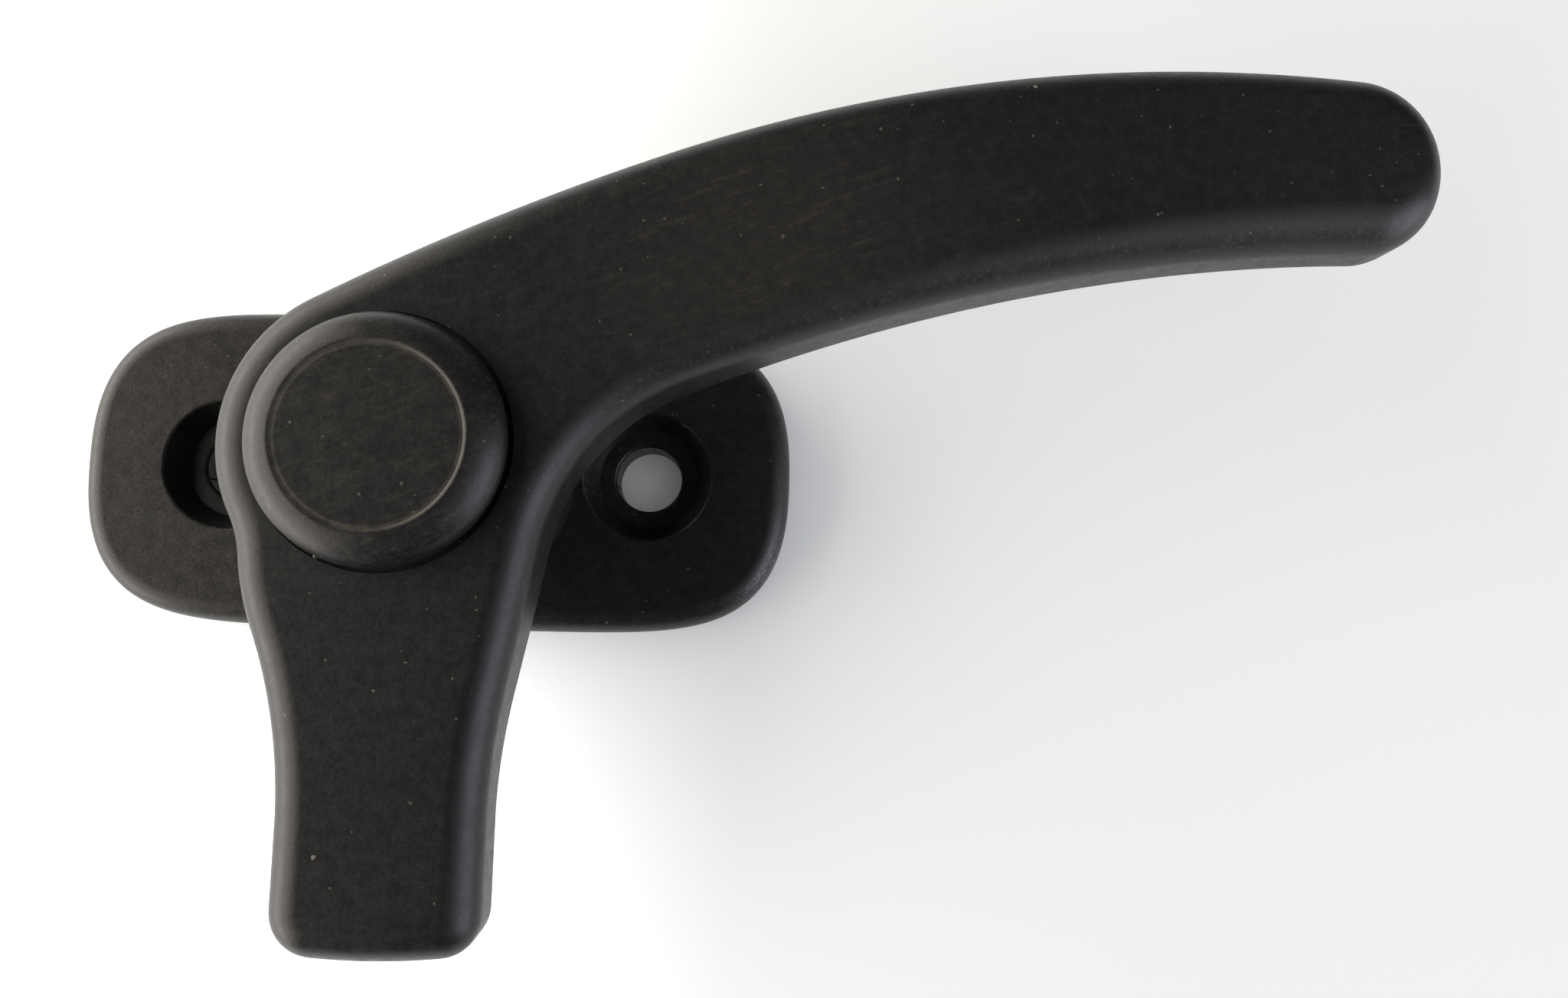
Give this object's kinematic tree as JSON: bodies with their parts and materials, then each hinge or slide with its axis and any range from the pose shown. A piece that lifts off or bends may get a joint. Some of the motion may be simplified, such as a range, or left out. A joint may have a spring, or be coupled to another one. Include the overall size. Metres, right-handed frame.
{
  "type": "window catch",
  "caption": "Black window catch: an oblong screw-on base plate and a pivoting one-piece lever with an arched arm and a flat nose that swings over a keeper.",
  "frame": {"origin": "on the mounting face, at the pivot axis and midway between the two fixing holes", "axes": "+Z out of the mounting face towards the lever's face, +X along the plate's screw line towards the arm's tip, the nose points to -Y in the closed rest pose"},
  "size_m": [0.104, 0.0642, 0.0262],
  "materials": {
    "black_moulding": "fine matte moulded texture",
    "black_cap": "satin moulded",
    "zinc_steel": "zinc plated",
    "spring_steel": "oiled spring steel",
    "natural_nylon": "natural nylon",
    "blue_nylon": "dyed nylon"
  },
  "bodies": {
    "base": {"base_plate": "black_moulding", "pivot_bolt": "zinc_steel", "pivot_sleeve": "zinc_steel", "thrust_washer": "natural_nylon", "friction_washer": "natural_nylon", "disc_spring": "spring_steel", "plain_washer": "zinc_steel", "lock_nut": "zinc_steel", "lock_nut_insert": "blue_nylon"},
    "lever": {"lever": "black_moulding", "pivot_cap": "black_cap"}
  },
  "joints": [
    {"name": "lever_turn", "type": "hinge", "parent": "base", "child": "lever", "pos_m": [0, 0, 0], "axis": [0, 0, 1], "range_deg": [0, 90]}
  ]
}
